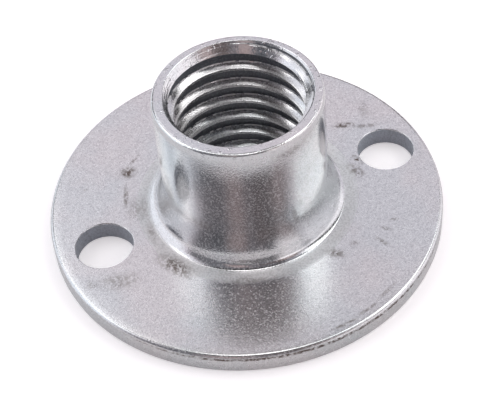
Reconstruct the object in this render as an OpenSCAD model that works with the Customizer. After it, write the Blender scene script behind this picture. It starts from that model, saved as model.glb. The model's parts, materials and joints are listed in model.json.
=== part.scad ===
// Round-base tee nut: one drawn and tapped piece of sheet steel.
// The origin is the centre of the flange's underside, +Z runs up the collar,
// and the two screw holes lie on the X axis.

/* [Flange] */
// Diameter of the round flange
flange_d = 27; // [25:0.5:40]
// Thickness of the sheet that the flange is pressed from
flange_t = 1.4; // [1:0.1:2.5]
// Rounding that the blanking die leaves round the flange's upper edge
edge_roll = 0.25; // [0.1:0.05:0.5]

/* [Collar] */
// Height from the flange's underside to the rim of the collar
total_h = 11.2; // [8:0.1:20]
// Wall between the threaded bore and the outside of the collar
collar_wall = 1.3; // [1:0.05:2]
// Radius of the gentle flare at the collar's foot, which turns the wall out by flare_turn
flare_r = 4.5; // [2:0.5:6]
// Radius of the tighter root below it, which runs out over the flange
root_r = 1.9; // [0.5:0.1:2.5]
// Width that the chamfer takes off the rim's outer edge
lip_w = 0.1; // [0.05:0.05:0.3]
// Height of that chamfer, down the collar
lip_h = 0.4; // [0.1:0.05:0.8]

/* [Threaded bore] */
// Minor diameter of the thread, 8.6 for M10 x 1.5
bore_d = 8.6; // [6:0.1:11]
// Width of the countersink at the rim, on each side of the bore
countersink_w = 0.6; // [0.2:0.05:0.8]
// Depth of the countersink below the rim
countersink_h = 0.8; // [0.4:0.1:1.5]
// Radius that the drawing punch leaves at the bore's mouth, under the flange
mouth_r = 1.2; // [0.5:0.1:2]

/* [Screw holes] */
// Number of screw holes, spaced evenly round the flange
hole_count = 2; // [2:1:4]
// Diameter of each screw hole
hole_d = 4.1; // [3:0.1:5]
// Metal left between a screw hole and the flange's edge
hole_edge = 1; // [0.6:0.1:2]

/* [Hidden] */
$fn = 128;
flange_r = flange_d / 2;
bore_r = bore_d / 2;
collar_r = bore_r + collar_wall;
hole_circle_r = flange_r - hole_edge - hole_d / 2;
// How far a cut runs past the face that it opens
past = 1;
// How far the wall leans out at the end of the flare, and where the root meets the flange
flare_turn = 24;
root_turn = 62;

// The flat ring of sheet, cut through the middle, with its die roll
module flange_section() {
    difference() {
        square([flange_r, flange_t]);
        translate([flange_r, flange_t]) rotate(180) corner_waste(edge_roll);
    }
}

// What is left of a square corner when a circle of radius r is cut out of it:
// added in an inner corner it is a fillet, taken off an outer one it is a round
module corner_waste(r) {
    difference() {
        square(r);
        translate([r, r]) circle(r);
    }
}

// A sector of a disc's outside: what an inner round of radius r adds to a wall that
// leans out from angle a0 to angle a1, with the round's centre at the origin
module inner_round(r, a0, a1) {
    lean = (a1 - a0) / 2;
    difference() {
        polygon([
            [0, 0],
            [-r * cos(a0), -r * sin(a0)],
            [-r / cos(lean) * cos(a0 + lean), -r / cos(lean) * sin(a0 + lean)],
            [-r * cos(a1), -r * sin(a1)]
        ]);
        circle(r);
    }
}

// The drawn wall, from the flange's underside to the chamfered rim. Its foot flares gently,
// then turns tighter over the flange: two arcs that share the point where they meet
module collar_section() {
    knee = [
        collar_r + flare_r * (1 - cos(flare_turn)),
        flange_t + root_r * (sin(root_turn) - sin(flare_turn))
    ];
    foot_r = knee[0] + root_r * (cos(flare_turn) - cos(root_turn));
    flare_top = knee[1] + flare_r * sin(flare_turn);
    polygon([
        [0, 0],
        [foot_r, 0],
        [foot_r, flange_t],
        [foot_r - root_r * tan((root_turn - flare_turn) / 2) * sin(root_turn),
         flange_t + root_r * tan((root_turn - flare_turn) / 2) * cos(root_turn)],
        knee,
        [collar_r, flare_top - flare_r * tan(flare_turn / 2)],
        [collar_r, total_h - lip_h],
        [collar_r - lip_w, total_h],
        [0, total_h]
    ]);
    translate([collar_r + flare_r, flare_top])
        inner_round(flare_r, 0, flare_turn);
    translate([knee[0] + root_r * cos(flare_turn), knee[1] + root_r * sin(flare_turn)])
        inner_round(root_r, flare_turn, root_turn);
}

// The thread's core, with the countersink above it and the drawn-in mouth below
module bore_section() {
    translate([0, -past]) square([bore_r, total_h + 2 * past]);
    polygon([
        [0, total_h - countersink_h],
        [bore_r, total_h - countersink_h],
        [bore_r + countersink_w, total_h],
        [bore_r + countersink_w, total_h + past],
        [0, total_h + past]
    ]);
    translate([bore_r, 0]) corner_waste(mouth_r);
}

// The screw holes, as cutters
module screw_holes() {
    for (i = [0 : hole_count - 1])
        rotate(i * 360 / hole_count)
            translate([hole_circle_r, 0, -past])
                cylinder(h = flange_t + 2 * past, d = hole_d);
}

module tee_nut() {
    color("#C4C3C8") difference() {
        rotate_extrude() difference() {
            union() {
                flange_section();
                collar_section();
            }
            bore_section();
        }
        screw_holes();
    }
}

tee_nut();
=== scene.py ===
# %% [markdown]
# # A round-base tee nut
#
# The nut is one piece of sheet steel. A press draws a short tube, the collar, out of a round
# blank, pierces two screw holes beside it, and a tap cuts a thread down the bore. Then it is
# zinc plated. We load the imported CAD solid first: it is the frame that everything here must fit.

# %% Load the frame
import json
import math

import bmesh
import bpy
from mathutils import Matrix, Quaternion, Vector

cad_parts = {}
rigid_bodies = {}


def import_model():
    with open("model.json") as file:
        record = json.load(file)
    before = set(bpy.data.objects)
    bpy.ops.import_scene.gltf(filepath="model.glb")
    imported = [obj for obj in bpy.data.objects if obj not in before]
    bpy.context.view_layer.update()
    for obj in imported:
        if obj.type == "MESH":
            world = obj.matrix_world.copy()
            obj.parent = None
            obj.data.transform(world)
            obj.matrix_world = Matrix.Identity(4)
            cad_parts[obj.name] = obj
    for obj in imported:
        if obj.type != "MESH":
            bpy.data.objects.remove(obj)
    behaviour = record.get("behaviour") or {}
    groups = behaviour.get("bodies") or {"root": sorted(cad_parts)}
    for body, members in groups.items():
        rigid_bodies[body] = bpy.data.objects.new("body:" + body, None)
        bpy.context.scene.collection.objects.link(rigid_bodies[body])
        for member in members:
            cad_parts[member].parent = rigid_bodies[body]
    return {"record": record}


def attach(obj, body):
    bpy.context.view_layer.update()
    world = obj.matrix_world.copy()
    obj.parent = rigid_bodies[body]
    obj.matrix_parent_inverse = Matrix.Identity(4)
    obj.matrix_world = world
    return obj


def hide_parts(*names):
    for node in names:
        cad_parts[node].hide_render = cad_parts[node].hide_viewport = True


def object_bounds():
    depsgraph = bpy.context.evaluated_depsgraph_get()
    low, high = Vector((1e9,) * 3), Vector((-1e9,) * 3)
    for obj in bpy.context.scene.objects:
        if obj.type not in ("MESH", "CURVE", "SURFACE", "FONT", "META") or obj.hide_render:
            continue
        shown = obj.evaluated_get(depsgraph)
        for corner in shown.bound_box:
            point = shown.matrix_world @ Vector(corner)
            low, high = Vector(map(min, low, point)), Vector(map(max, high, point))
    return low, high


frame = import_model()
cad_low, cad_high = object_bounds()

print("frame box in mm:", [round(1000 * v, 2) for v in (*cad_low, *cad_high)])

# %% [markdown]
# ## The sizes
#
# The solid's mounts already state the sizes that matter, so we read those instead of typing
# them again. What no mount states is set here. The collar's foot, the bore's mouth, the
# chamfer and the countersink repeat the solid's own numbers. The thread's form, the holes' burr
# and drift, and the roundings of all other edges are only here, because a solid has no need of
# them.

# %% Read the driving sizes from the mounts
MM = 0.001
mounts = {m["name"]: m for m in frame["record"]["mounts"]}

FLANGE_R = cad_high.x
TOTAL_H = cad_high.z
FLANGE_T = mounts["seat"]["pos_m"][2]
COLLAR_R = mounts["collar"]["dims"]["r_mm"] * MM
BORE_R = mounts["thread"]["dims"]["r_mm"] * MM
HOLE_R = mounts["screw_holes"]["dims"]["hole_r_mm"] * MM
HOLE_X = mounts["screw_holes"]["dims"]["pcd_mm"] / 2 * MM

print("across, in mm:", {name: round(2 * radius / MM, 1) for name, radius in
                          (("flange", FLANGE_R), ("collar", COLLAR_R), ("bore", BORE_R))})

# %% Name the sizes that no mount states
EDGE_ROLL = 0.3 * MM       # die roll round the flange's upper edge, a touch rounder than the solid's
SHEAR_EDGE = 0.05 * MM     # what is left of the burr on its lower edge
FLARE_R, FLARE_TURN = 4.5 * MM, math.radians(24)    # the collar's foot leans out gently to 24 degrees
ROOT_R, ROOT_TURN = 1.9 * MM, math.radians(62)      # then turns tighter, until it meets the flange
ROOT_EDGE = 0.05 * MM      # rounding of the crisp line where it meets the flange
MOUTH_R = 1.2 * MM         # drawn-in mouth of the bore, under the flange
LIP_W, LIP_H = 0.1 * MM, 0.4 * MM            # chamfer on the rim's outer edge
COUNTERSINK_W, COUNTERSINK_H = 0.6 * MM, 0.8 * MM
LIP_BREAK = 0.13 * MM      # rounding above that chamfer
RIM_BREAK = 0.05 * MM      # rounding of the rim's other edges
HOLE_ROLL = 0.09 * MM      # rounding of a screw hole's upper edge
HOLE_BURR = 0.1 * MM       # what the burr takes off a screw hole's radius
HOLE_DRIFT = 0.2 * MM      # the punches sit this far to one side of the blank's middle
ROUND_STEPS = 384          # facets round the nut
ROUND_PROFILE = 0.5        # a bevel of this profile is an arc
WELD = 0.0005 * MM         # points nearer than this are one point

# %% [markdown]
# ## The body
#
# Everything about this nut is round, so the body is a section spun about the Z axis. The
# section is a wire of a few sharp corners, each given its own radius with a vertex bevel: that
# is how the die leaves them too. We could model half the section and mirror it, but a full
# spin closes on itself and needs no seam.

# %% A closed wire whose corners are rounded one by one
def rounded_section(corners, arc_steps=8, closed=True):
    """Returns a bmesh with one wire in the XZ plane. A corner is (radius out, height, rounding)."""
    section = bmesh.new()
    verts = [section.verts.new((out, 0, up)) for out, up, _ in corners]
    for a, b in zip(verts, verts[1:] + verts[:1] * closed):
        section.edges.new((a, b))
    for vert, (_, _, rounding) in zip(verts, corners):
        if rounding:
            bmesh.ops.bevel(section, geom=[vert], offset=rounding, segments=arc_steps,
                            profile=ROUND_PROFILE, affect="VERTICES", material=-1)
    return section


flare_arm = FLARE_R * math.tan(FLARE_TURN / 2)
root_arm = ROOT_R * math.tan((ROOT_TURN - FLARE_TURN) / 2)
FOOT_R = (COLLAR_R + FLARE_R * (1 - math.cos(FLARE_TURN))
          + ROOT_R * (math.cos(FLARE_TURN) - math.cos(ROOT_TURN)))
knee_out = FOOT_R - root_arm * math.sin(ROOT_TURN)
knee_up = FLANGE_T + root_arm * math.cos(ROOT_TURN)
flare_up = knee_up + (flare_arm + root_arm) * math.cos(FLARE_TURN)
print(f"the collar starts to flare {(flare_up + flare_arm) / MM:.2f} mm up")
print(f"its foot is {FOOT_R / MM:.2f} mm out")

body_corners = [
    (BORE_R, 0, MOUTH_R),
    (FLANGE_R, 0, SHEAR_EDGE),
    (FLANGE_R, FLANGE_T, EDGE_ROLL),
    (FOOT_R, FLANGE_T, ROOT_EDGE),
    (knee_out, knee_up, root_arm - 2 * ROOT_EDGE),
    (COLLAR_R, flare_up, flare_arm),
    (COLLAR_R, TOTAL_H - LIP_H, RIM_BREAK),
    (COLLAR_R - LIP_W, TOTAL_H, LIP_BREAK),
    (BORE_R + COUNTERSINK_W, TOTAL_H, RIM_BREAK),
    (BORE_R, TOTAL_H - COUNTERSINK_H, 0),
]
body = rounded_section(body_corners)
print("body section:", len(body.verts), "points")

# %% Extra rings on the long flat stretches, then spin
LONG = 4 * MM          # a stretch longer than this gets the rings
FLAT_CUTS = 12
long_edges = [e for e in body.edges if e.calc_length() > LONG]
bmesh.ops.subdivide_edges(body, edges=long_edges, cuts=FLAT_CUTS)


def spin_full(bm, steps):
    """Turns a wire into a closed skin round the Z axis, welded where it meets itself."""
    bmesh.ops.spin(bm, geom=bm.verts[:] + bm.edges[:], cent=(0, 0, 0), axis=(0, 0, 1), dvec=(0, 0, 0),
                   angle=2 * math.pi, steps=steps, use_merge=True, use_normal_flip=False,
                   use_duplicate=False)
    bmesh.ops.remove_doubles(bm, verts=bm.verts[:], dist=WELD)
    bmesh.ops.recalc_face_normals(bm, faces=bm.faces[:])


spin_full(body, ROUND_STEPS)
print("body:", len(body.faces), "faces, volume", round(body.calc_volume() / MM ** 3, 1), "mm3")

# %% [markdown]
# ## The thread
#
# A tap is a screw with cutting edges, so we make the tap and cut with it. Its section is one
# pitch of an M10 x 1.5 groove: 60 degrees between the flanks and a flat at the root, wide on a
# worn tap. Spun with a rise per step it becomes a helix whose turns share their edges, and a
# Boolean takes it out of the bore. What the tap leaves of the drilled wall is the thread's
# crest, as on the real nut, and its upper side lies a little flatter than the flank below it. A
# bump pattern would be quicker, but the crests would not stand out against the far wall.

# %% One pitch of the tap
PITCH = 1.5 * MM
MAJOR_R = 4.8 * MM
ROOT_FLAT = 0.72 * MM             # the tap is worn, so its teeth are blunt and shallow, and the crests thin
FLANK_SLOPE = math.tan(math.radians(30))
CORE_R = BORE_R - 0.06 * MM       # the tap's core stays clear of the bore's wall
CREST_EASE_R = BORE_R + 0.05 * MM # where the lower flank starts to ease over into the crest
LAND_R = BORE_R + 0.14 * MM       # from here inwards the crest's upper side is rolled flatter,
LAND_SLOPE = math.tan(math.radians(23))  # to this slope
SEAM_R = 4.74 * MM                # a fine ridge at the foot of the flank, where two teeth of the tap met
SEAM_H = 0.03 * MM
GROOVE_AT_X = 0.6 * MM            # height of a groove's middle on the +X side
TAP_STEPS = 144                   # facets a turn
TAP_WELD = 0.002 * MM             # turns that meet nearer than this are one skin
TURNS_BELOW, TURNS = 3, 12
LOW_END = GROOVE_AT_X - TURNS_BELOW * PITCH


def half_groove(out):
    """Half the groove's width at a radius."""
    return ROOT_FLAT / 2 + (MAJOR_R - out) * FLANK_SLOPE


def tap_section():
    """The wire of one pitch, from the middle of one crest to the middle of the next."""
    ease = half_groove(CREST_EASE_R) + (CREST_EASE_R - CORE_R)
    seam = -half_groove(SEAM_R)
    land = half_groove(LAND_R) + (LAND_R - CORE_R) * LAND_SLOPE
    points = [
        (CORE_R, -PITCH / 2),
        (CORE_R, -land),
        (LAND_R, -half_groove(LAND_R)),
        (SEAM_R - SEAM_H, -half_groove(SEAM_R - SEAM_H)),
        (SEAM_R, seam + SEAM_H),
        (SEAM_R + SEAM_H, -half_groove(SEAM_R + SEAM_H)),
        (MAJOR_R, -ROOT_FLAT / 2),
        (MAJOR_R, ROOT_FLAT / 2),
        (CREST_EASE_R, half_groove(CREST_EASE_R)),
        (CORE_R, ease),
        (CORE_R, PITCH / 2),
    ]
    wire = bmesh.new()
    verts = [wire.verts.new((out, 0, LOW_END + up)) for out, up in points]
    for a, b in zip(verts, verts[1:]):
        wire.edges.new((a, b))
    return wire


tap = tap_section()
bmesh.ops.spin(tap, geom=tap.verts[:] + tap.edges[:], cent=(0, 0, 0), axis=(0, 0, 1),
               dvec=(0, 0, PITCH / TAP_STEPS), angle=2 * math.pi, steps=TAP_STEPS,
               use_merge=False, use_normal_flip=False, use_duplicate=False)
one_turn = tap.verts[:] + tap.edges[:] + tap.faces[:]
for turn in range(1, TURNS):
    copy = bmesh.ops.duplicate(tap, geom=one_turn)["geom"]
    bmesh.ops.translate(tap, verts=[g for g in copy if isinstance(g, bmesh.types.BMVert)],
                        vec=(0, 0, turn * PITCH))
bmesh.ops.remove_doubles(tap, verts=tap.verts[:], dist=TAP_WELD)
print("tap:", len(tap.faces), "faces,", sum(e.is_boundary for e in tap.edges), "open edges")

# %% Close the tap's two ends to a point each, level with the middle of its last groove
for height, side in ((LOW_END, -1), (LOW_END + TURNS * PITCH, 1)):
    rim = [e for e in tap.edges if e.is_boundary and side * (e.verts[0].co.z - TOTAL_H / 2) > 0]
    cap = bmesh.ops.extrude_edge_only(tap, edges=rim)["geom"]
    tip = [g for g in cap if isinstance(g, bmesh.types.BMVert)]
    bmesh.ops.pointmerge(tap, verts=tip, merge_co=(0, 0, height))
bmesh.ops.recalc_face_normals(tap, faces=tap.faces[:])
tap_volume = round(tap.calc_volume(signed=True) / MM ** 3, 1)
print("tap closed:", all(e.is_manifold for e in tap.edges), "volume", tap_volume, "mm3")

# %% [markdown]
# ## The screw holes
#
# A punch goes in from above and drags the edge down a little before it shears, so each hole is
# rounded at the top. The punch is a spun section as well, with that rounding turned inside out.
# A bevel of the hole's edge after the cut would look the same, but it has to find that edge first.

# %% A punch for one hole
PAST = 1 * MM             # how far the punch runs past the sheet
SHALLOW = 0.012 * MM      # keeps the punch's shoulder out of the flange's own plane
HOLE_STEPS = 96           # facets round a hole
HOLE_ARC_STEPS = 4        # facets across its rounded edge
PUNCH_TURN = math.radians(1.3)  # so that no corner of the punch meets a corner of the body


def punch(x):
    """A closed solid that leaves a hole with an eased upper edge, on the X axis at x."""
    hole = HOLE_R - HOLE_BURR
    bm = rounded_section([
        (0, -PAST, 0),
        (hole + SHEAR_EDGE + SHALLOW, -PAST, 0),
        (hole + SHEAR_EDGE + SHALLOW, -SHALLOW, 0),
        (hole, SHEAR_EDGE, 0),
        (hole, FLANGE_T + SHALLOW, HOLE_ROLL),
        (hole + PAST, FLANGE_T + SHALLOW, 0),
        (hole + PAST, FLANGE_T + PAST, 0),
        (0, FLANGE_T + PAST, 0),
    ], arc_steps=HOLE_ARC_STEPS, closed=False)
    spin_full(bm, HOLE_STEPS)
    bmesh.ops.rotate(bm, verts=bm.verts[:], cent=(0, 0, 0), matrix=Matrix.Rotation(PUNCH_TURN, 3, "Z"))
    bmesh.ops.translate(bm, verts=bm.verts[:], vec=(x, 0, 0))
    return bm


# %% Cut the thread and the holes out of the body
def to_object(bm, name):
    """A new object in the scene that takes over the bmesh."""
    mesh = bpy.data.meshes.new(name)
    bm.to_mesh(mesh)
    bm.free()
    obj = bpy.data.objects.new(name, mesh)
    bpy.context.scene.collection.objects.link(obj)
    return obj


nut = to_object(body, "nut")
cutters = [to_object(punch(x + HOLE_DRIFT), "punch") for x in (HOLE_X, -HOLE_X)]
cutters.append(to_object(tap, "tap"))
for cutter in cutters:
    cut = nut.modifiers.new("cut", "BOOLEAN")
    cut.operation = "DIFFERENCE"
    cut.solver = "EXACT"
    cut.object = cutter

finished = bpy.data.meshes.new_from_object(nut.evaluated_get(bpy.context.evaluated_depsgraph_get()))
nut.modifiers.clear()
nut.data = finished
for cutter in cutters:
    bpy.data.objects.remove(cutter)
finished.materials.clear()       # this also puts every face back in slot 0, so it comes before the sorting
measured = bmesh.new()
measured.from_mesh(finished)
print("cut nut:", len(measured.faces), "faces,",
      sum(not e.is_manifold for e in measured.edges), "open edges,",
      round(measured.calc_volume() / MM ** 3, 1), "mm3")
measured.free()

# %% Sort the faces by how the steel was worked, while the nut is still true
SKIN = 0.03 * MM       # how far a face may lie off a surface and still belong to it
WAYS = ["pressed", "turned", "tapped", "pierced"]


def way_of(middle):
    """How the steel at this point was worked."""
    out, up = middle.xy.length, middle.z
    on_cone = abs((out - BORE_R) / COUNTERSINK_W * COUNTERSINK_H - (up - TOTAL_H + COUNTERSINK_H)) < SKIN
    in_mouth = abs(Vector((out - BORE_R - MOUTH_R, up - MOUTH_R)).length - MOUTH_R) < SKIN and up < MOUTH_R
    in_hole = Vector((abs(middle.x - HOLE_DRIFT) - HOLE_X, middle.y)).length < HOLE_R + SKIN
    if in_hole and up < FLANGE_T - HOLE_ROLL:
        return "pierced"
    if out < COLLAR_R + SKIN and (up > TOTAL_H - LIP_H or on_cone and up > FLANGE_T):
        return "tapped" if out < MAJOR_R + SKIN and not on_cone and up < TOTAL_H - SKIN else "turned"
    if out < MAJOR_R + SKIN and up > SKIN and not in_mouth:
        return "tapped"
    return "pressed"


for polygon in finished.polygons:
    polygon.material_index = WAYS.index(way_of(polygon.center))
print({way: sum(p.material_index == i for p in finished.polygons) for i, way in enumerate(WAYS)})

# %% [markdown]
# ## Out of true
#
# A drawn collar never lands quite in the middle of its blank, and the drill and tap find their
# own middle once more. We shift the finished mesh sideways instead of spinning each part about
# its own axis, so the fillet stretches between collar and flange as the metal does.

# %% Shift the collar, and the bore a little further
COLLAR_DRIFT = Vector((0.149, 0.005, 0)) * MM
BORE_DRIFT = Vector((0.122, 0.087, 0)) * MM   # on top of the collar's
ROOT_DRIFT = Vector((0, 0.25, 0)) * MM        # where the die squeezed the collar's foot
ROOT_FADE = (0.2 * MM, 0.8 * MM)              # distances from the foot over which that dies away
COLLAR_FADE = (7.0 * MM, 9.0 * MM)            # radii between which the shift dies away
BORE_FADE = (5.05 * MM, 5.5 * MM)


def fade(value, start, end):
    """1 up to start, 0 from end on, and smooth between them."""
    t = min(max((end - value) / (end - start), 0), 1)
    return t * t * (3 - 2 * t)


for vert in finished.vertices:
    out = vert.co.xy.length
    vert.co += (COLLAR_DRIFT * fade(out, *COLLAR_FADE) + BORE_DRIFT * fade(out, *BORE_FADE)
                + ROOT_DRIFT * fade(abs(out - FOOT_R), *ROOT_FADE))
print("collar off centre by", round(COLLAR_DRIFT.length / MM, 2), "mm")

# %% Smooth shading, with a crease where the metal really turns a corner
CREASE = math.radians(10)
for polygon in finished.polygons:
    polygon.use_smooth = True
finished.set_sharp_from_angle(angle=CREASE)
nut.modifiers.new("flat faces stay flat", "WEIGHTED_NORMAL").keep_sharp = True

# %% [markdown]
# ## Zinc plate
#
# Bright zinc plating with a clear blue passivate: a thin metal coat on steel. It is metallic and
# pale, faintly violet, and it copies the steel under it, so the grain of the sheet, the marks of
# the drawing die and the lathe all show through. One material with masks could cover the whole
# nut, but one for each way the steel was worked is easier to read, and they share the colour.

# %% Small helpers for materials
def linear(hex_colour):
    """An sRGB hex colour as the linear RGBA that Blender's sockets take."""
    channels = [int(hex_colour[i:i + 2], 16) / 255 for i in (1, 3, 5)]
    return [c / 12.92 if c <= 0.04045 else ((c + 0.055) / 1.055) ** 2.4 for c in channels] + [1]


def add(tree, kind, settings=None, links=None):
    """Adds a node. settings are its options, links its inputs: each a value or another node's output."""
    node = tree.nodes.new(kind)
    for key, value in (settings or {}).items():
        setattr(node, key, value)
    for key, value in (links or {}).items():
        if isinstance(value, bpy.types.NodeSocket):
            tree.links.new(value, node.inputs[key])
        else:
            node.inputs[key].default_value = value
    return node


def new_material(name):
    """An empty material, and its node tree."""
    material = bpy.data.materials.new(name)
    material.use_nodes = True
    material.node_tree.nodes.clear()
    return material, material.node_tree


# %% The colour that every zinc-plated surface shares
ZINC_WARM, ZINC_COOL = "#D8D6D7", "#D3D6D8"
PATCH = 6.0           # mm, size of the warmer and cooler patches that the passivate dries to
SPECK = 0.12          # mm, the plate's own crystals; the real ones are finer, and wouldn't show
GRAIN = 0.1           # mm, the grain of the sheet under it, drawn coarser for the same reason
# a noise runs from 0 to 1, and these are its values between which each thing fades in
PATCH_EDGES, SPECK_EDGES, BLOOM_EDGES = (0.4, 0.6), (0.3, 0.6), (0.5, 0.68)


def start_plate(name):
    """A new material, and the place on the nut in millimetres, so that pattern sizes read as such."""
    material, tree = new_material(name)
    place = add(tree, "ShaderNodeTexCoord").outputs["Object"]
    in_mm = add(tree, "ShaderNodeVectorMath", {"operation": "SCALE"}, {0: place, "Scale": 1 / MM})
    return material, tree, in_mm.outputs[0]


def plate_colour(tree, place, darkest, bloom=0.0):
    """Warm and cool patches of zinc under a fine speckle.

    Returns the colour, and how metallic each place is. Every pale speck is a little oxide bloom: it
    scatters light, so it shows even where the metal mirrors something dark. bloom says how much of
    the mirror it covers."""
    patches = add(tree, "ShaderNodeTexNoise", {}, {"Vector": place, "Scale": 1 / PATCH, "Detail": 3.0})
    patches = add(tree, "ShaderNodeMapRange", {}, {
        "Value": patches.outputs[0], "From Min": PATCH_EDGES[0], "From Max": PATCH_EDGES[1]})
    zinc = add(tree, "ShaderNodeMix", {"data_type": "RGBA"},
               {"Factor": patches.outputs[0], "A": linear(ZINC_WARM), "B": linear(ZINC_COOL)})
    specks = add(tree, "ShaderNodeTexNoise", {}, {"Vector": place, "Scale": 1 / SPECK, "Detail": 1.0})
    pale = add(tree, "ShaderNodeMapRange", {"interpolation_type": "SMOOTHSTEP"}, {
        "Value": specks.outputs[0], "From Min": BLOOM_EDGES[0], "From Max": BLOOM_EDGES[1],
        "To Min": 1.0, "To Max": 1.0 - bloom})
    specks = add(tree, "ShaderNodeMapRange", {}, {
        "Value": specks.outputs[0], "From Min": SPECK_EDGES[0], "From Max": SPECK_EDGES[1],
        "To Min": darkest})
    colour = add(tree, "ShaderNodeVectorMath", {"operation": "SCALE"},
                 {0: zinc.outputs["Result"], "Scale": specks.outputs[0]})
    return colour.outputs[0], pale.outputs[0]


# %% Bumps, and the metal itself
def finish_plate(tree, heights, roughness, colour, metallic):
    """Bumps for a list of (pattern, height in mm), then the metal itself."""
    normal = None
    for pattern, height in heights:
        bump = add(tree, "ShaderNodeBump", {}, {"Height": pattern, "Distance": height * MM, "Strength": 1.0})
        if normal is not None:
            tree.links.new(normal, bump.inputs["Normal"])
        normal = bump.outputs[0]
    metal = add(tree, "ShaderNodeBsdfPrincipled", {}, {
        "Base Color": colour, "Metallic": metallic, "Roughness": roughness, "Normal": normal})
    add(tree, "ShaderNodeOutputMaterial", {}, {"Surface": metal.outputs[0]})


# %% Where a point lies about the nut's axis
def about_axis(tree, place, drift):
    """Distance out from the drifted axis, in mm, and the vector (out, height, 0)."""
    centred = add(tree, "ShaderNodeVectorMath", {"operation": "SUBTRACT"}, {0: place, 1: drift / MM})
    axis = add(tree, "ShaderNodeSeparateXYZ", {}, {0: centred.outputs[0]}).outputs
    flat = add(tree, "ShaderNodeCombineXYZ", {}, {"X": axis["X"], "Y": axis["Y"]})
    out = add(tree, "ShaderNodeVectorMath", {"operation": "LENGTH"}, {0: flat.outputs[0]}).outputs["Value"]
    section = add(tree, "ShaderNodeCombineXYZ", {}, {"X": out, "Y": axis["Z"]})
    return out, section.outputs[0]


def band_about(tree, out, middle, half, amount=1.0):
    """A ring-shaped band: amount up to half[0] mm either side of the middle, 0 from half[1] on."""
    off = add(tree, "ShaderNodeMath", {"operation": "SUBTRACT"}, {0: out, 1: middle})
    off = add(tree, "ShaderNodeMath", {"operation": "ABSOLUTE"}, {0: off.outputs[0]})
    band = add(tree, "ShaderNodeMapRange", {"interpolation_type": "SMOOTHSTEP"}, {
        "Value": off.outputs[0], "From Min": half[1], "From Max": half[0], "To Max": amount})
    return band.outputs[0]


# %% [markdown]
# ## Stains
#
# Handling leaves oil and dirt on the plate, and the bath leaves drips and haze. Each stain is a
# soft ellipse, and a noise breaks it up into blots. They could be painted into an image, but a
# list can be read and changed line by line, and it stays sharp however near the camera comes.

# %% Stains: what, where on the nut (mm), half sizes (mm), turn (degrees) and strength
STAINS = [
    ("smudge at the left back", (-6.65, 5.7, 1.4), (0.7, 0.6, 0.5), 0, 1.0),
    ("its tail", (-5.95, 6.6, 1.4), (0.8, 0.14, 0.5), 35, 0.6),
    ("drips beside the collar", (-7.5, 3.55, 1.4), (1.25, 0.2, 0.5), 72, 0.7),
    ("mottling beside them", (-7.1, 2.2, 1.4), (1.2, 0.9, 0.5), 72, 0.4),
    ("dots", (-6.95, -0.3, 1.4), (1.0, 0.3, 0.5), 80, 0.45),
    ("dirt at the root, left front", (-6.5, -3.7, 1.5), (1.7, 0.7, 0.5), 119, 0.9),
    ("dirt at the root, front", (-2.6, -6.9, 1.5), (1.6, 0.3, 0.5), -22, 0.5),
    ("speckles by the left hole", (-10.3, -3.4, 1.4), (1.5, 0.8, 0.5), -18, 0.5),
    ("stain at the left edge", (-12.0, -2.9, 1.4), (0.5, 0.4, 0.5), 0, 0.4),
    ("scuff at the left", (-9.9, 5.4, 1.4), (0.3, 0.12, 0.5), 0, 0.5),
    ("row of tool marks", (9.0, 3.4, 1.4), (0.85, 0.3, 0.5), -18, 1.0),
    ("its faint end", (10.3, 2.7, 1.4), (1.0, 0.22, 0.5), -18, 0.6),
    ("haze behind the right hole", (10.9, 4.2, 1.4), (1.0, 0.5, 0.5), 72, 0.3),
    ("strands by the right hole", (8.45, -0.1, 1.4), (0.6, 0.25, 0.5), -74, 1.0),
    ("rust below them", (7.9, -1.0, 1.4), (0.9, 0.5, 0.5), -74, 0.7),
    ("scuffs on the right", (8.3, -6.15, 1.4), (0.35, 0.14, 0.5), -17, 0.6),
    ("more scuffs", (7.5, -6.7, 1.4), (0.5, 0.18, 0.5), -50, 0.5),
    ("last scuffs", (6.8, -7.6, 1.4), (0.7, 0.2, 0.5), -60, 0.6),
    ("oil spot", (3.6, -7.2, 1.4), (0.75, 0.45, 0.5), -40, 0.7),
    ("oil spot's neighbour", (5.0, -6.95, 1.4), (0.35, 0.28, 0.5), 0, 0.5),
    ("dirt along the front edge", (1.7, -12.75, 1.4), (1.0, 0.14, 0.5), 6, 0.8),
    ("more of it", (3.4, -12.3, 1.4), (1.0, 0.14, 0.5), 16, 0.7),
    ("the last of it", (5.2, -11.5, 1.4), (1.1, 0.16, 0.5), 26, 0.5),
    ("dirt under the rim", (1.5, -5.4, 10.3), (1.3, 0.5, 0.35), 10, 0.5),
]
# dark brown for the stains, and also for the painted shade along the flange's edge crease
DIRT_AND_CREASE_SHADE = "#54463E"
BLOT = 0.28                   # mm, size of the blots that a stain breaks up into
BLOT_EDGES = (0.42, 0.56)     # values of the noise between which a blot fades in
BLOT_COVER = (0.15, 0.95)     # how much dirt lies between the blots, and on them
STAIN_FADE = (1.3, 0.2)       # in half sizes: a stain starts at the first and is full at the second
SHADED_CREASE_HALF = (0.08, 0.16)    # mm either side of the crease where the flange's rolled edge ends, painted dark there as shade
print("stains:", len(STAINS))
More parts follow.
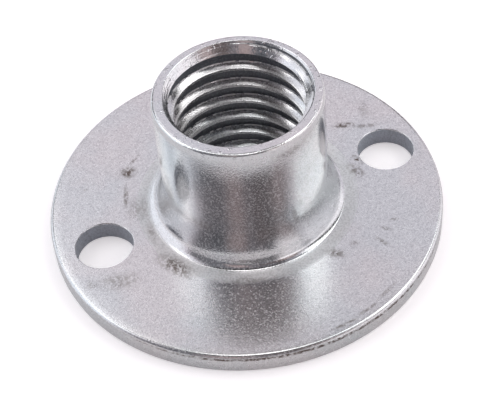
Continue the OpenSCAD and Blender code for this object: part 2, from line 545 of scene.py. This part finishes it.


# %% Lay the stains, and a ring of painted shade along the flange's edge crease, over a colour
def stained(tree, place, section, colour):
    """Lays the stains, and a ring of painted shade along the crease of the flange's rolled edge, over a
    colour. Returns the new colour, and how much stain and painted shade lies on each place.
    """
    dirt = 0.0
    for _, middle, half_sizes, turn, strength in STAINS:
        spot = add(tree, "ShaderNodeMapping", {"vector_type": "TEXTURE"}, {
            "Vector": place, "Location": middle, "Rotation": (0, 0, math.radians(turn)), "Scale": half_sizes})
        off = add(tree, "ShaderNodeVectorMath", {"operation": "LENGTH"}, {0: spot.outputs[0]})
        soft = add(tree, "ShaderNodeMapRange", {"interpolation_type": "SMOOTHSTEP"}, {
            "Value": off.outputs["Value"], "From Min": STAIN_FADE[0], "From Max": STAIN_FADE[1],
            "To Max": strength})
        dirt = add(tree, "ShaderNodeMath", {"operation": "MAXIMUM"}, {0: dirt, 1: soft.outputs[0]}).outputs[0]
    # painted shade: a dark ring along the crease where the flange's rolled edge ends, added to the stains
    crease = add(tree, "ShaderNodeVectorMath", {"operation": "DISTANCE"}, {
        0: section, 1: (FLANGE_R / MM, (FLANGE_T - EDGE_ROLL) / MM, 0)})
    crease = add(tree, "ShaderNodeMapRange", {"interpolation_type": "SMOOTHSTEP"}, {
        "Value": crease.outputs["Value"], "From Min": SHADED_CREASE_HALF[1], "From Max": SHADED_CREASE_HALF[0]})
    dirt = add(tree, "ShaderNodeMath", {"operation": "MAXIMUM"}, {0: dirt, 1: crease.outputs[0]}).outputs[0]
    blots = add(tree, "ShaderNodeTexNoise", {}, {
        "Vector": place, "Scale": 1 / BLOT, "Detail": 4.0, "Roughness": 0.7, "Distortion": 0.6})
    blots = add(tree, "ShaderNodeMapRange", {"interpolation_type": "SMOOTHSTEP"}, {
        "Value": blots.outputs[0], "From Min": BLOT_EDGES[0], "From Max": BLOT_EDGES[1],
        "To Min": BLOT_COVER[0], "To Max": BLOT_COVER[1]})
    stain_and_crease_shade = add(tree, "ShaderNodeMath", {"operation": "MULTIPLY"}, {0: dirt, 1: blots.outputs[0]}).outputs[0]
    mixed = add(tree, "ShaderNodeMix", {"data_type": "RGBA"}, {
        "Factor": stain_and_crease_shade, "A": colour, "B": linear(DIRT_AND_CREASE_SHADE)})
    return mixed.outputs["Result"], stain_and_crease_shade


# %% [markdown]
# ## Pressed sheet
#
# The flange, the root and the collar's outside were squeezed between dies. They give the eye a
# pale, soft mirror: satin on the flange, brighter on the collar, and frosted in a ring round the
# foot, where the sheet was stretched. Scans of real plate could be wrapped round it, but patterns
# made of noise have no seam and need no unwrapping.

# %% Zinc plate on pressed sheet: what each pattern measures
WAVE, WAVE_H = 1.3, 0.006           # mm, shallow rings that the blank holder leaves
DENT, DENT_H = 3.0, 0.02            # mm, the sheet's own unevenness
PRESSED_GRAIN_H = 0.006             # mm
PRESSED_DARKEST, PRESSED_BLOOM = 0.75, 0.34
SHINE_OUT, SHINE = (6.6, 7.0), (0.07, 0.22)  # mm out; roughness inside the first and outside the second
FROST_RING = ((6.6, 0), (6.75, 1), (7.3, 1), (7.75, 0))  # mm out, and how frosted it is there
FROST_ROUGHNESS, FROST_METALLIC, STAIN_AND_SHADE_ROUGHNESS = 0.2, -0.6, 0.25   # what each adds
print("frosted from", FROST_RING[0][0], "to", FROST_RING[-1][0], "mm out")

# %% Zinc plate on pressed sheet: flange, root and the collar's outside
pressed, tree, place = start_plate("zinc plate on pressed sheet steel")
out, section = about_axis(tree, place, COLLAR_DRIFT)
grain = add(tree, "ShaderNodeTexNoise", {}, {
    "Vector": place, "Scale": 1 / GRAIN, "Detail": 2.0, "Roughness": 0.6})
wave = add(tree, "ShaderNodeTexNoise", {"noise_dimensions": "1D"}, {
    "W": out, "Scale": 1 / WAVE, "Detail": 1.0})
dent = add(tree, "ShaderNodeTexNoise", {}, {"Vector": place, "Scale": 1 / DENT, "Detail": 1.0})
zinc, pale = plate_colour(tree, place, PRESSED_DARKEST, PRESSED_BLOOM)
# the stains, and the painted shade along the flange's edge crease
colour, stain_and_crease_shade = stained(tree, place, section, zinc)
shine = add(tree, "ShaderNodeMapRange", {}, {
    "Value": out, "From Min": SHINE_OUT[0], "From Max": SHINE_OUT[1],
    "To Min": SHINE[0], "To Max": SHINE[1]})
share = add(tree, "ShaderNodeMath", {"operation": "DIVIDE"}, {0: out, 1: FLANGE_R / MM})
frost = add(tree, "ShaderNodeValToRGB", {}, {"Fac": share.outputs[0]})
for at, amount in FROST_RING:
    point = frost.color_ramp.elements.new(at * MM / FLANGE_R)
    point.color = (amount, amount, amount, 1)
frost.color_ramp.elements[-1].color = (0, 0, 0, 1)
frosty = add(tree, "ShaderNodeMath", {"operation": "MULTIPLY_ADD"}, {
    0: frost.outputs[0], 1: FROST_ROUGHNESS, 2: shine.outputs[0]})
dull = add(tree, "ShaderNodeMath", {"operation": "MULTIPLY_ADD"}, {
    0: stain_and_crease_shade, 1: STAIN_AND_SHADE_ROUGHNESS, 2: frosty.outputs[0]})
mirror = add(tree, "ShaderNodeMath", {"operation": "MULTIPLY_ADD"}, {
    0: frost.outputs[0], 1: FROST_METALLIC, 2: pale})
bumps = [(wave.outputs[0], WAVE_H), (dent.outputs[0], DENT_H), (grain.outputs[0], PRESSED_GRAIN_H)]
finish_plate(tree, bumps, dull.outputs[0], colour, mirror.outputs[0])
print(pressed.name + ":", len(tree.nodes), "nodes")

# %% [markdown]
# ## Turned steel
#
# The rim and the countersink were cut on a lathe. They give the eye the sharpest mirror on the
# nut, broken by fine rings and a few nicks. Blender can also stretch a highlight across such
# marks with its anisotropic setting, but a noise of (distance out, height) draws the rings
# themselves, because it is the same all the way round.

# %% Zinc plate on turned steel: the rim and the countersink
TURNING, TURNING_H = 0.12, 0.018    # mm between the lathe's marks; the real ones are finer
NICK, NICK_H = 0.35, 0.012          # mm, small nicks from knocking about in the barrel
NICK_EDGES = (0.62, 0.7)            # values of the noise between which a nick rises
TURNED_GRAIN_H = 0.008              # mm
TURNED_DARKEST, TURNED_BLOOM, TURNED_ROUGHNESS = 0.8, 0.25, 0.12

turned, tree, place = start_plate("zinc plate on turned steel")
_, section = about_axis(tree, place, COLLAR_DRIFT + BORE_DRIFT)
marks = add(tree, "ShaderNodeTexNoise", {}, {"Vector": section, "Scale": 1 / TURNING, "Detail": 2.0})
grain = add(tree, "ShaderNodeTexNoise", {}, {"Vector": place, "Scale": 1 / GRAIN, "Detail": 2.0})
nicks = add(tree, "ShaderNodeTexNoise", {}, {"Vector": place, "Scale": 1 / NICK, "Detail": 1.0})
nicks = add(tree, "ShaderNodeMapRange", {}, {
    "Value": nicks.outputs[0], "From Min": NICK_EDGES[0], "From Max": NICK_EDGES[1]})
zinc, pale = plate_colour(tree, place, TURNED_DARKEST, TURNED_BLOOM)
bumps = [(marks.outputs[0], TURNING_H), (grain.outputs[0], TURNED_GRAIN_H), (nicks.outputs[0], NICK_H)]
finish_plate(tree, bumps, TURNED_ROUGHNESS, zinc, pale)
print(turned.name + ":", len(tree.nodes), "nodes")

# %% [markdown]
# ## Tapped steel
#
# The tap leaves bright flanks, and it tears the crests and the seam where two of its teeth met.
# These are painted near-white as pale lines, dashed along the seam: partly paler metal where it
# tore, partly a painted highlight. The groove's bottom is painted darker, as painted shade. The
# faces could be sorted further for all this, but each of these is a band at its own distance from
# the bore's axis, and that is quick to measure in the material.

# %% Zinc plate on tapped steel: where the tap tore the seam and the crests, which are painted near-white, partly as painted highlight
SEAM_HALF = (0.03, 0.06)      # mm either side of the seam
DASH, DASH_EDGES = 0.6, (0.45, 0.52)    # mm, length of the seam's dashes, and where their noise fades in
LAND_MIDDLE = (BORE_R + LAND_R) / 2 / MM + 0.02  # mm out, the middle of the land on top of each crest
LAND_HALF, LAND_GLINT = (0.06, 0.07), 0.3  # mm either side of it, and how far it is painted near-white, partly as painted highlight

tapped, tree, place = start_plate("zinc plate on tapped steel")
out, _ = about_axis(tree, place, COLLAR_DRIFT + BORE_DRIFT)
seam = band_about(tree, out, SEAM_R / MM, SEAM_HALF)
dashes = add(tree, "ShaderNodeTexNoise", {}, {"Vector": place, "Scale": 1 / DASH, "Detail": 2.0})
dashes = add(tree, "ShaderNodeMapRange", {}, {
    "Value": dashes.outputs[0], "From Min": DASH_EDGES[0], "From Max": DASH_EDGES[1]})
torn_glint = add(tree, "ShaderNodeMath", {"operation": "MULTIPLY"}, {0: seam, 1: dashes.outputs[0]})
land = band_about(tree, out, LAND_MIDDLE, LAND_HALF, LAND_GLINT)
torn_glint = add(tree, "ShaderNodeMath", {"operation": "MAXIMUM"}, {0: torn_glint.outputs[0], 1: land})
print("torn at", round(SEAM_R / MM, 2), "and", round(LAND_MIDDLE, 2), "mm out")

# %% Zinc plate on tapped steel: its colour and shine
TORN_AND_GLINT, GROOVE_SHADE = "#FAFAFA", "#767A80"   # near-white where the tap tore the crests and seam, partly paler metal and partly painted highlight; dark grey in the groove's bottom, painted shade
TAPPED_DARKEST, TAPPED_BLOOM = 0.8, 0.3
TAPPED_DIM, GROOVE_SHADE_METALLIC = 0.18, -0.4    # what the tap's scratches, and the painted shade in the groove's bottom, take off the mirror
TAPPED_ROUGHNESS, TORN_GLINT_ROUGHNESS = 0.1, 0.3
TAPPED_GRAIN_H = 0.004              # mm

dull = add(tree, "ShaderNodeMath", {"operation": "MULTIPLY_ADD"}, {
    0: torn_glint.outputs[0], 1: TORN_GLINT_ROUGHNESS, 2: TAPPED_ROUGHNESS})
# painted shade: the groove's bottom turns dark grey and less metallic
groove_shade = add(tree, "ShaderNodeMapRange", {"interpolation_type": "SMOOTHSTEP"}, {
    "Value": out, "From Min": SEAM_R / MM, "From Max": MAJOR_R / MM})
zinc, pale = plate_colour(tree, place, TAPPED_DARKEST, TAPPED_BLOOM)
scratched = add(tree, "ShaderNodeMath", {"operation": "SUBTRACT"}, {0: pale, 1: TAPPED_DIM})
mirror = add(tree, "ShaderNodeMath", {"operation": "MULTIPLY_ADD"}, {
    0: groove_shade.outputs[0], 1: GROOVE_SHADE_METALLIC, 2: scratched.outputs[0]})
mirror = add(tree, "ShaderNodeMath", {"operation": "SUBTRACT", "use_clamp": True}, {
    0: mirror.outputs[0], 1: torn_glint.outputs[0]})
colour = add(tree, "ShaderNodeMix", {"data_type": "RGBA"}, {
    "Factor": groove_shade.outputs[0], "A": zinc, "B": linear(GROOVE_SHADE)})
# painted highlight, partly: the seam's dashes and the crests' land turn near-white and lose their mirror
colour = add(tree, "ShaderNodeMix", {"data_type": "RGBA"}, {
    "Factor": torn_glint.outputs[0], "A": colour.outputs["Result"], "B": linear(TORN_AND_GLINT)})
grain = add(tree, "ShaderNodeTexNoise", {}, {"Vector": place, "Scale": 1 / GRAIN, "Detail": 2.0})
bumps = [(grain.outputs[0], TAPPED_GRAIN_H)]
finish_plate(tree, bumps, dull.outputs[0], colour.outputs["Result"], mirror.outputs[0])
print(tapped.name + ":", len(tree.nodes), "nodes")

# %% [markdown]
# ## Sheared steel
#
# The punch shears the walls of the two screw holes. They give the eye a matt grey with scores
# that run down it, as the punch did, tinted darker and bluer: partly the sheared steel, partly
# painted shade. The scores could be cut into the mesh, but they are far finer than its facets,
# and a noise drawn out along Z costs none.

# %% Zinc plate on sheared steel: the walls of the two screw holes
SHEARED_TINT_AND_SHADE = "#D0D5DE"                 # it tints the zinc darker and bluer: partly the sheared steel, partly painted shade
STRETCH = 0.15                      # a score's width over its length
SCORE_H = 0.02                      # mm
SHEARED_DARKEST, SHEARED_ROUGHNESS, SHEARED_METALLIC = 0.7, 0.45, 0.3

pierced, tree, place = start_plate("zinc plate on sheared steel")
drawn = add(tree, "ShaderNodeMapping", {}, {"Vector": place, "Scale": (1, 1, STRETCH)})
marks = add(tree, "ShaderNodeTexNoise", {}, {"Vector": drawn.outputs[0], "Scale": 1 / GRAIN, "Detail": 2.0})
zinc, _ = plate_colour(tree, place, SHEARED_DARKEST)
# painted shade, partly: this tint darkens the hole walls
colour = add(tree, "ShaderNodeMix", {"data_type": "RGBA", "blend_type": "MULTIPLY"}, {
    "Factor": 1.0, "A": zinc, "B": linear(SHEARED_TINT_AND_SHADE)})
bumps = [(marks.outputs[0], SCORE_H)]
finish_plate(tree, bumps, SHEARED_ROUGHNESS, colour.outputs["Result"], SHEARED_METALLIC)
print(pierced.name + ":", len(tree.nodes), "nodes")

# %% Give the nut its four materials, in the order of WAYS
for material in (pressed, turned, tapped, pierced):
    finished.materials.append(material)
print("materials:", [m.name for m in finished.materials])

# %% [markdown]
# ## The table and the light tent
#
# Bright metal shows nothing but its surroundings, so the studio matters as much as the metal. The
# nut stands on white paper inside a light tent: soft boxes and lamps at the sides, a pale back, a
# small lamp overhead, and a dark front where the camera and the person behind it stand. Blender's
# area lamps could light it, but the metal would mirror them with hard edges. A dome that glows by
# direction lets us place every box, gap and shadow that the metal mirrors, each with a soft edge.

# %% White paper
PAPER_WHITE, PAPER_TINT = "#E2E0E1", "#FFFCFE"     # the paper itself, and the light it gives back
PAPER_ROUGHNESS = 0.9      # uncoated and quite matt
PAPER_HALF = 3.0           # metres
PAPER_GAP = 0.02 * MM      # keeps the paper clear of the nut's own underside
PAPER_GLOW = 0.41          # what the camera sees on top of the light that falls on the paper
PAPER_SHEEN = 0.14         # what a mirror sees on top of it: bright metal shows paper as a soft grey

sheet = bmesh.new()
bmesh.ops.create_grid(sheet, x_segments=1, y_segments=1, size=PAPER_HALF)
bmesh.ops.translate(sheet, verts=sheet.verts[:], vec=(0, 0, -PAPER_GAP))
paper = to_object(sheet, "paper")

white_paper, tree = new_material("white paper")
ray = add(tree, "ShaderNodeLightPath").outputs
sheen = add(tree, "ShaderNodeMath", {"operation": "MULTIPLY"}, {0: ray["Is Glossy Ray"], 1: PAPER_SHEEN})
glow = add(tree, "ShaderNodeMath", {"operation": "MULTIPLY_ADD"},
           {0: ray["Is Camera Ray"], 1: PAPER_GLOW, 2: sheen.outputs[0]})
shader = add(tree, "ShaderNodeBsdfPrincipled", {}, {
    "Base Color": linear(PAPER_WHITE), "Roughness": PAPER_ROUGHNESS, "Specular IOR Level": 0.0,
    "Emission Color": linear(PAPER_TINT), "Emission Strength": glow.outputs[0]})
add(tree, "ShaderNodeOutputMaterial", {}, {"Surface": shader.outputs[0]})
paper.data.materials.append(white_paper)
print("paper:", 2 * PAPER_HALF, "m square,", round(PAPER_GAP / MM, 2), "mm under the nut")

# %% What hangs in the light tent
CAMERA_SIDE = math.radians(-17.8)    # the tent is turned with the camera, round the nut's Z axis
TENT_R = 2.0                         # metres
TENT_LEVEL = 4                       # 1 is a dome of 20 triangles, and each level splits them in four
TENT_CLOTH, CLOTH_LIGHT = "#FCF6FF", 0.94
HALF_TURN = 180                      # degrees
# What hangs in it: name, azimuth from the front and half width, elevation and half height, softness
# (all in degrees), colour and strength. A later part hides what it covers of an earlier one.
TENT_PARTS = [
    ("dim ceiling", 180, 95, 73, 14, 6, "#FFFDFC", 0.28),
    ("left soft box", -113, 38, 22, 35, 6, "#F4F7FF", 1.42),
    ("left lamp, high", -141, 19, 60, 17, 5, "#FFFEFF", 2.5),
    ("left strip lamp", -94, 7, 50, 10, 4, "#FFFFFF", 2.8),
    ("right soft box", 94, 34, 22, 30, 6, "#FFF9FD", 1.45),
    ("right lamp, high", 106, 36, 57, 18, 4, "#FFFFFF", 2.8),
    ("seam between the right lamps", 101, 40, 38, 5, 4, "#000000", 1.0),
    ("dark front", -6, 62, 38, 47, 5, "#F6F4FF", 0.25),
    ("dark front of the ceiling", -25, 80, 77, 12, 5, "#FFF0F0", 0.06),
    ("person in front", -17, 11, 35, 21, 4, "#FFE8E8", 0.52),
    ("edge of the right box", 41, 15, 19, 23, 5, "#FFF8FA", 1.55),
    ("shadow at the back", 170, 21, 12, 15, 5, "#000000", 1.0),
    ("table edge in front", 6, 25, 1, 7, 4, "#FFFFFF", 0.35),
    ("shadow at the left back", -146, 14, 34, 8, 5, "#000000", 1.0),
    ("small lamp overhead", 0, 180, 90, 10, 2, "#FFFFFF", 3.2),
    ("gap beside the right box", 31, 25, 38, 15, 4, "#FFE8E8", 0.18),
    ("brown card in the gap", 43, 8, 38, 15, 3, "#FFE8E8", 0.6),
    ("dark corner over the right box", 78, 18, 65, 8, 5, "#F0F4FF", 0.22),
    ("dark gap on the left", -42, 8, 30, 9, 4, "#E8F0FF", 0.13),
]
print("parts of the tent:", len(TENT_PARTS))

# %% The light tent: a dome that only the metal and the paper see
dome = bmesh.new()
bmesh.ops.create_icosphere(dome, subdivisions=TENT_LEVEL, radius=TENT_R)
tent = to_object(dome, "light tent")
tent.rotation_euler.z = CAMERA_SIDE
tent.visible_camera = False

tent_cloth, tree = new_material("light tent")
place = add(tree, "ShaderNodeTexCoord").outputs["Object"]
way = add(tree, "ShaderNodeVectorMath", {"operation": "NORMALIZE"}, {0: place})
axis = add(tree, "ShaderNodeSeparateXYZ", {}, {0: way.outputs[0]}).outputs
front = add(tree, "ShaderNodeMath", {"operation": "MULTIPLY"}, {0: axis["Y"], 1: -1.0})
azimuth = add(tree, "ShaderNodeMath", {"operation": "ARCTAN2"}, {0: axis["X"], 1: front.outputs[0]})
azimuth = add(tree, "ShaderNodeMath", {"operation": "DEGREES"}, {0: azimuth.outputs[0]})
height = add(tree, "ShaderNodeMath", {"operation": "ARCSINE"}, {0: axis["Z"]})
height = add(tree, "ShaderNodeMath", {"operation": "DEGREES"}, {0: height.outputs[0]})
light = [c * CLOTH_LIGHT for c in linear(TENT_CLOTH)]
for _, az, az_half, el, el_half, soft, colour, strength in TENT_PARTS:
    cover = None
    for angle, middle, half in ((azimuth, az, az_half), (height, el, el_half)):
        off = add(tree, "ShaderNodeMath", {"operation": "SUBTRACT"}, {0: angle.outputs[0], 1: middle})
        off = add(tree, "ShaderNodeMath", {"operation": "WRAP"}, {
            0: off.outputs[0], 1: HALF_TURN, 2: -HALF_TURN})
        off = add(tree, "ShaderNodeMath", {"operation": "ABSOLUTE"}, {0: off.outputs[0]})
        inside = add(tree, "ShaderNodeMapRange", {"interpolation_type": "SMOOTHSTEP"},
                     {"Value": off.outputs[0], "From Min": half + soft, "From Max": half - soft})
        cover = inside if cover is None else add(tree, "ShaderNodeMath", {"operation": "MULTIPLY"},
                                                 {0: cover.outputs[0], 1: inside.outputs[0]})
    mix = add(tree, "ShaderNodeMix", {"data_type": "RGBA"},
              {"Factor": cover.outputs[0], "A": light, "B": [c * strength for c in linear(colour)]})
    light = mix.outputs["Result"]
glow = add(tree, "ShaderNodeEmission", {}, {"Color": light, "Strength": 1.0})
add(tree, "ShaderNodeOutputMaterial", {}, {"Surface": glow.outputs[0]})
tent.data.materials.append(tent_cloth)
print("light tent:", len(tree.nodes), "nodes,", round(2 * TENT_R, 1), "m across")

# %% Plain white beyond the tent
WHITE = (1, 1, 1, 1)
world = bpy.data.worlds.new("white")
world.use_nodes = True
world.node_tree.nodes["Background"].inputs["Color"].default_value = WHITE
bpy.context.scene.world = world
print("world:", world.name)

# %% [markdown]
# ## The camera
#
# A long lens looks down on the nut at a good 48 degrees, a little rolled. A constraint could keep
# it aimed at the nut, but it doesn't move, so a direction, a distance and a roll say it all.

# %% The camera
LENS, SENSOR = 99.36, 36             # mm
CAMERA_UP = math.radians(48.24)      # above the horizontal
CAMERA_ROLL = math.radians(5.59)
CAMERA_FAR = 95.85 * MM              # from the point that it looks at
LOOK_AT = Vector((0.238, -0.076, 0.169)) * MM
CLIP_NEAR, CLIP_FAR = 0.01, 10       # metres

camera = bpy.data.objects.new("camera", bpy.data.cameras.new("camera"))
camera.data.lens = LENS
camera.data.sensor_width = SENSOR
camera.data.clip_start = CLIP_NEAR
camera.data.clip_end = CLIP_FAR
forward = Vector((-math.sin(CAMERA_SIDE) * math.cos(CAMERA_UP),
                  math.cos(CAMERA_SIDE) * math.cos(CAMERA_UP), -math.sin(CAMERA_UP)))
camera.location = LOOK_AT - forward * CAMERA_FAR
camera.rotation_mode = "QUATERNION"
camera.rotation_quaternion = forward.to_track_quat("-Z", "Y") @ Quaternion((0, 0, 1), -CAMERA_ROLL)
bpy.context.scene.collection.objects.link(camera)
bpy.context.scene.camera = camera
bpy.context.scene.view_settings.view_transform = "Standard"
print("camera at, in mm:", [round(v / MM, 1) for v in camera.location])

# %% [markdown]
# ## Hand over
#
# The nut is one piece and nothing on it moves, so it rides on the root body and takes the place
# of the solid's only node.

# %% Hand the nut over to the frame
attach(nut, "root")
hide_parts("tee_nut")
